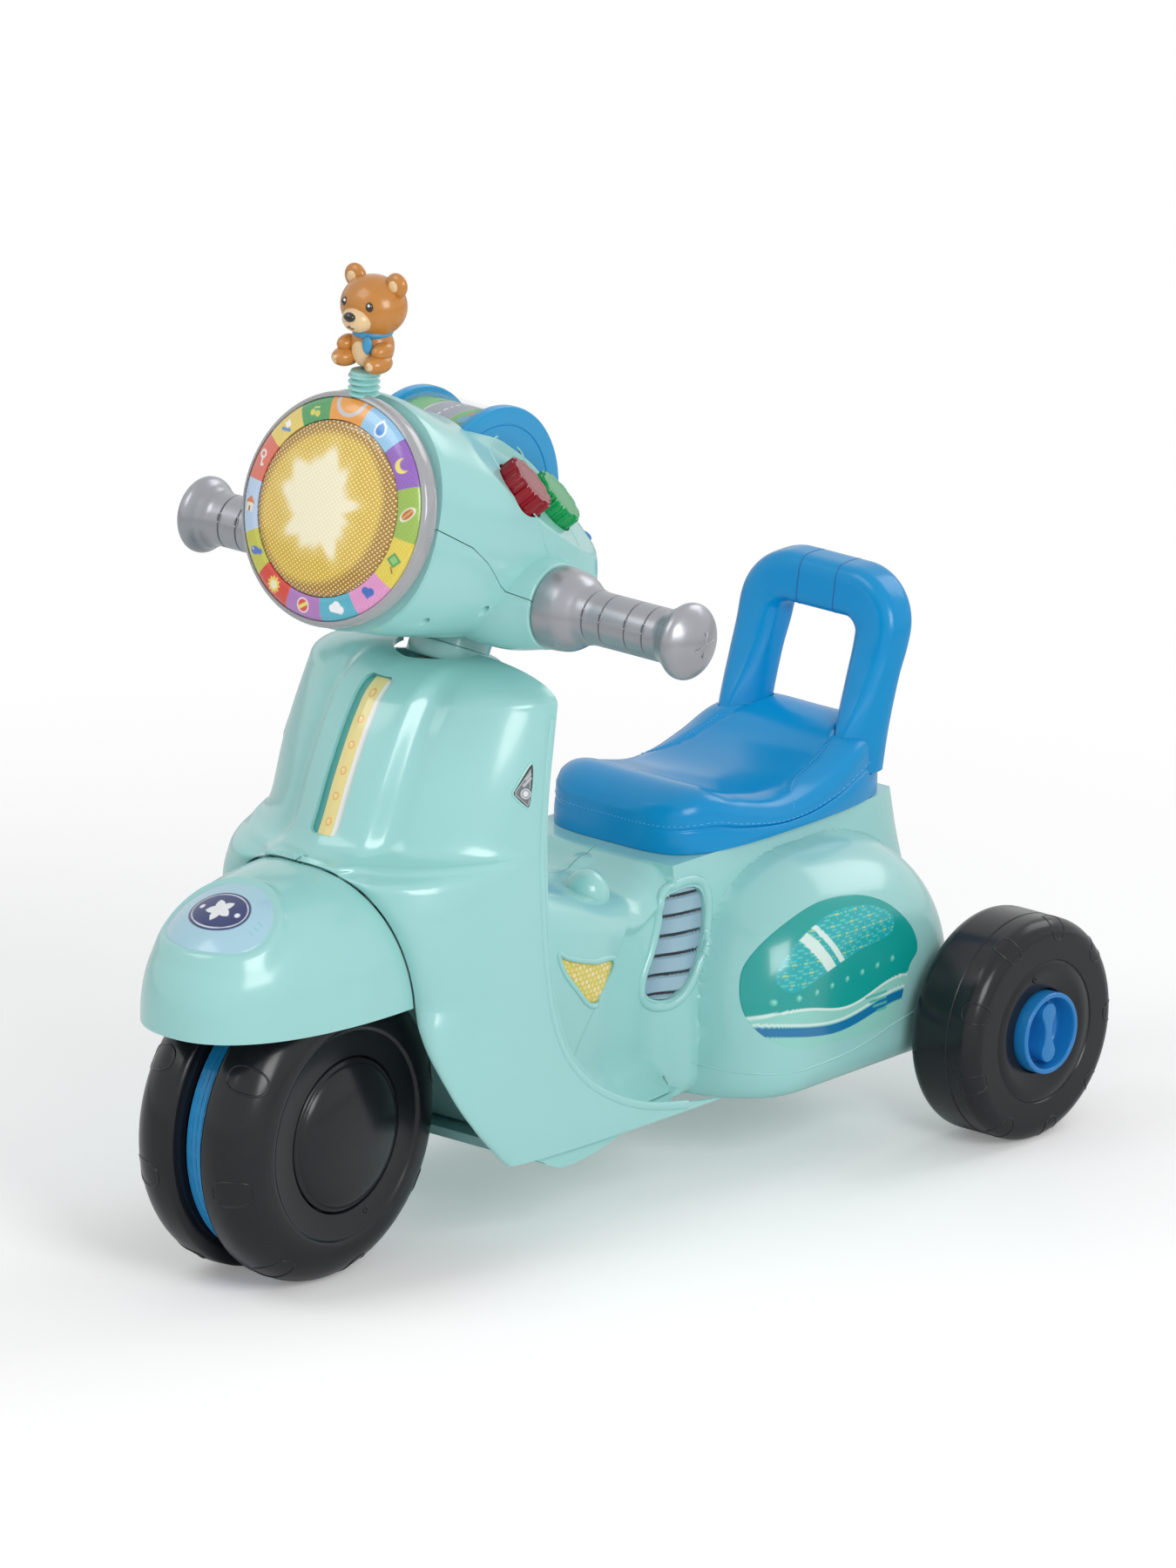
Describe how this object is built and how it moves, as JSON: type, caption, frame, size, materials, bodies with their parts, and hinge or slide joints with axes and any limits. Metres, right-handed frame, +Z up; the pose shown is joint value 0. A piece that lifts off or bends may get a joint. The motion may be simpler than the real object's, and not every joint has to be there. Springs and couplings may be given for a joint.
{
  "type": "toddler scooter",
  "caption": "Toddler ride-on scooter with a round headlamp, silver grips, a leg shield over the front wheel, a blue seat with a backrest and wide-set rear wheels.",
  "frame": {"origin": "on the ground, under the middle of the scooter's length and width", "axes": "+Z up, -Y forward in the riding direction, +X towards the rider's left"},
  "size_m": [0.355, 0.5869, 0.5318],
  "materials": {
    "mint_plastic": "glossy",
    "blue_plastic": "glossy",
    "knob_plastic": "glossy",
    "black_plastic": "glossy",
    "silver_plastic": "metallic sheen",
    "steel": "bright",
    "nylon": "satin",
    "clear_rim": "glossy, translucent",
    "print": "printed, glossy",
    "lens_plastic": "translucent, textured",
    "reflector_chrome": "mirror",
    "board": "matt",
    "road_print": "printed",
    "sleeve": "clear",
    "red_clear": "translucent",
    "green_clear": "translucent",
    "yellow_clear": "translucent",
    "blue_clear": "translucent",
    "bear_brown": "glossy"
  },
  "bodies": {
    "frame": {"body_left": "mint_plastic", "body_right": "mint_plastic", "leg_shield": "mint_plastic", "shield_back": "mint_plastic", "floor_pan": "mint_plastic", "front_fender": "mint_plastic", "seat": "blue_plastic", "backrest": "blue_plastic", "steering_housing": "mint_plastic", "upper_bush": "nylon", "lower_bush": "nylon", "rear_axle": "steel"},
    "steering": {"steering_stem": "steel", "neck_collar": "mint_plastic", "fork_disc": "blue_plastic", "front_axle": "steel", "head_upper": "mint_plastic", "head_lower": "mint_plastic", "grip_left": "silver_plastic", "grip_right": "silver_plastic", "lamp_bezel": "clear_rim", "lamp_ring": "print", "lamp_lens": "lens_plastic", "lamp_reflector": "reflector_chrome", "lamp_board": "board", "drum_shaft": "steel"},
    "front_wheel": {"front_wheel_left": "black_plastic", "front_wheel_right": "black_plastic", "front_cap_left": "black_plastic", "front_cap_right": "black_plastic"},
    "rear_wheel_l": {"rear_wheel_left": "black_plastic"},
    "rear_wheel_r": {"rear_wheel_right": "black_plastic"},
    "knob_l": {"lock_knob_left": "knob_plastic"},
    "knob_r": {"lock_knob_right": "knob_plastic"},
    "drum": {"drum_core": "road_print", "drum_sleeve": "sleeve", "drum_disc_left": "blue_plastic", "drum_disc_right": "blue_plastic"},
    "red_button": {"button_red": "red_clear"},
    "green_button": {"button_green": "green_clear"},
    "yellow_button": {"button_yellow": "yellow_clear"},
    "blue_button": {"button_blue": "blue_clear"},
    "switch": {"mode_switch": "knob_plastic"},
    "bear": {"bear_neck": "mint_plastic", "bear_body": "bear_brown", "bear_head": "bear_brown"}
  },
  "joints": [
    {"name": "steer", "type": "hinge", "parent": "frame", "child": "steering", "pos_m": [0, -0.0729, 0.3067], "axis": [0, 0.4226, 0.9063], "range_deg": [-15, 15]},
    {"name": "front_wheel_spin", "type": "hinge", "parent": "steering", "child": "front_wheel", "pos_m": [0, -0.2, 0.0823], "axis": [1, 0, 0], "continuous": true},
    {"name": "rear_left_spin", "type": "hinge", "parent": "frame", "child": "rear_wheel_l", "pos_m": [0, 0.2327, 0.0607], "axis": [1, 0, 0], "continuous": true},
    {"name": "rear_right_spin", "type": "hinge", "parent": "frame", "child": "rear_wheel_r", "pos_m": [0, 0.2327, 0.0607], "axis": [1, 0, 0], "continuous": true},
    {"name": "left_knob_turn", "type": "hinge", "parent": "rear_wheel_l", "child": "knob_l", "pos_m": [0, 0.2327, 0.0607], "axis": [1, 0, 0], "range_deg": [0, 90]},
    {"name": "right_knob_turn", "type": "hinge", "parent": "rear_wheel_r", "child": "knob_r", "pos_m": [0, 0.2327, 0.0607], "axis": [1, 0, 0], "range_deg": [-90, 0]},
    {"name": "drum_roll", "type": "hinge", "parent": "steering", "child": "drum", "pos_m": [0, -0.074, 0.3945], "axis": [1, 0, 0], "continuous": true},
    {"name": "red_press", "type": "slide", "parent": "steering", "child": "red_button", "axis": [-0.6211, -0.4508, -0.6411], "range_m": [0, 0.002], "stiffness_N_per_m": 400},
    {"name": "green_press", "type": "slide", "parent": "steering", "child": "green_button", "axis": [-0.6211, -0.4508, -0.6411], "range_m": [0, 0.002], "stiffness_N_per_m": 400},
    {"name": "yellow_press", "type": "slide", "parent": "steering", "child": "yellow_button", "axis": [0.6211, -0.4508, -0.6411], "range_m": [0, 0.002], "stiffness_N_per_m": 400},
    {"name": "blue_press", "type": "slide", "parent": "steering", "child": "blue_button", "axis": [0.6211, -0.4508, -0.6411], "range_m": [0, 0.002], "stiffness_N_per_m": 400},
    {"name": "mode_slide", "type": "slide", "parent": "steering", "child": "switch", "axis": [-1, 0, 0], "range_m": [0, 0.024]},
    {"name": "bear_sway", "type": "hinge", "parent": "steering", "child": "bear", "pos_m": [0, -0.1443, 0.46], "axis": [0, 1, 0], "range_deg": [-6, 6], "stiffness_Nm_per_rad": 0.05}
  ]
}
